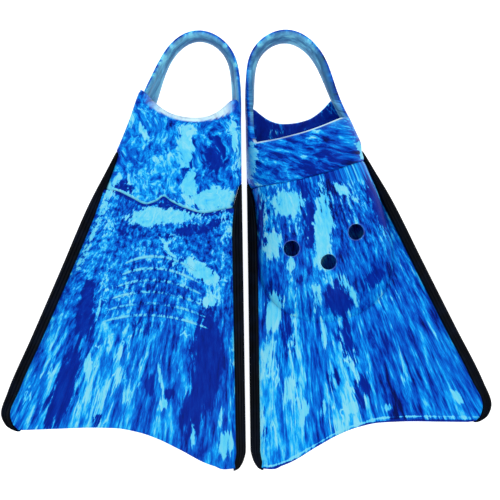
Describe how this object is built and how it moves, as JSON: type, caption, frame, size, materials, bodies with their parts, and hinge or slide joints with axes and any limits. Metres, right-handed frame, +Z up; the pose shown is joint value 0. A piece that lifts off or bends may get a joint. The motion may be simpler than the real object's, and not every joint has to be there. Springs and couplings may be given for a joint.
{
  "type": "swim fin pair",
  "caption": "Pair of short marbled rubber swim fins with foot pockets, heel strap loops, drain holes and stiff side rails, one sole up and one instep up.",
  "frame": {"origin": "middle of the pair's footprint, on the surface it lies on", "axes": "+X across the pair from the sole-up fin to the instep-up fin, +Y from the blade tips to the heel straps, +Z up"},
  "size_m": [0.4754, 0.4203, 0.0686],
  "materials": {
    "pocket_rubber": "marbled satin rubber",
    "sole_rubber": "marbled satin rubber",
    "blade_rubber": "marbled satin rubber",
    "rail_rubber": "black satin rubber"
  },
  "bodies": {
    "left_foot": {"left_heel_sole": "sole_rubber", "left_toe_sole": "blade_rubber", "left_instep_collar": "pocket_rubber", "left_toe_box": "pocket_rubber", "left_outer_rail_root": "rail_rubber", "left_inner_rail_root": "rail_rubber"},
    "left_strap": {"left_heel_strap": "pocket_rubber"},
    "left_blade": {"left_blade_panel": "blade_rubber", "left_outer_rail_tip": "rail_rubber", "left_inner_rail_tip": "rail_rubber"},
    "right_foot": {"right_heel_sole": "sole_rubber", "right_toe_sole": "blade_rubber", "right_instep_collar": "pocket_rubber", "right_toe_box": "pocket_rubber", "right_outer_rail_root": "rail_rubber", "right_inner_rail_root": "rail_rubber"},
    "right_strap": {"right_heel_strap": "pocket_rubber"},
    "right_blade": {"right_blade_panel": "blade_rubber", "right_outer_rail_tip": "rail_rubber", "right_inner_rail_tip": "rail_rubber"}
  },
  "joints": [
    {"name": "fins_apart", "type": "slide", "parent": "left_foot", "child": "right_foot", "axis": [1, 0, 0], "range_m": [0, 0.15]},
    {"name": "left_strap_flex", "type": "hinge", "parent": "left_foot", "child": "left_strap", "pos_m": [-0.045, 0.13449, 0.03273], "axis": [-1, 0, 0], "range_deg": [-15, 30], "stiffness_Nm_per_rad": 2},
    {"name": "left_blade_flex", "type": "hinge", "parent": "left_foot", "child": "left_blade", "pos_m": [-0.1, -0.07195, 0.02715], "axis": [1, 0, 0], "range_deg": [-12, 12], "stiffness_Nm_per_rad": 12},
    {"name": "right_strap_flex", "type": "hinge", "parent": "right_foot", "child": "right_strap", "pos_m": [0.045, 0.1348, 0.034], "axis": [1, 0, 0], "range_deg": [-15, 30], "stiffness_Nm_per_rad": 2},
    {"name": "right_blade_flex", "type": "hinge", "parent": "right_foot", "child": "right_blade", "pos_m": [0.1, -0.0702, 0.009], "axis": [-1, 0, 0], "range_deg": [-12, 12], "stiffness_Nm_per_rad": 12}
  ]
}
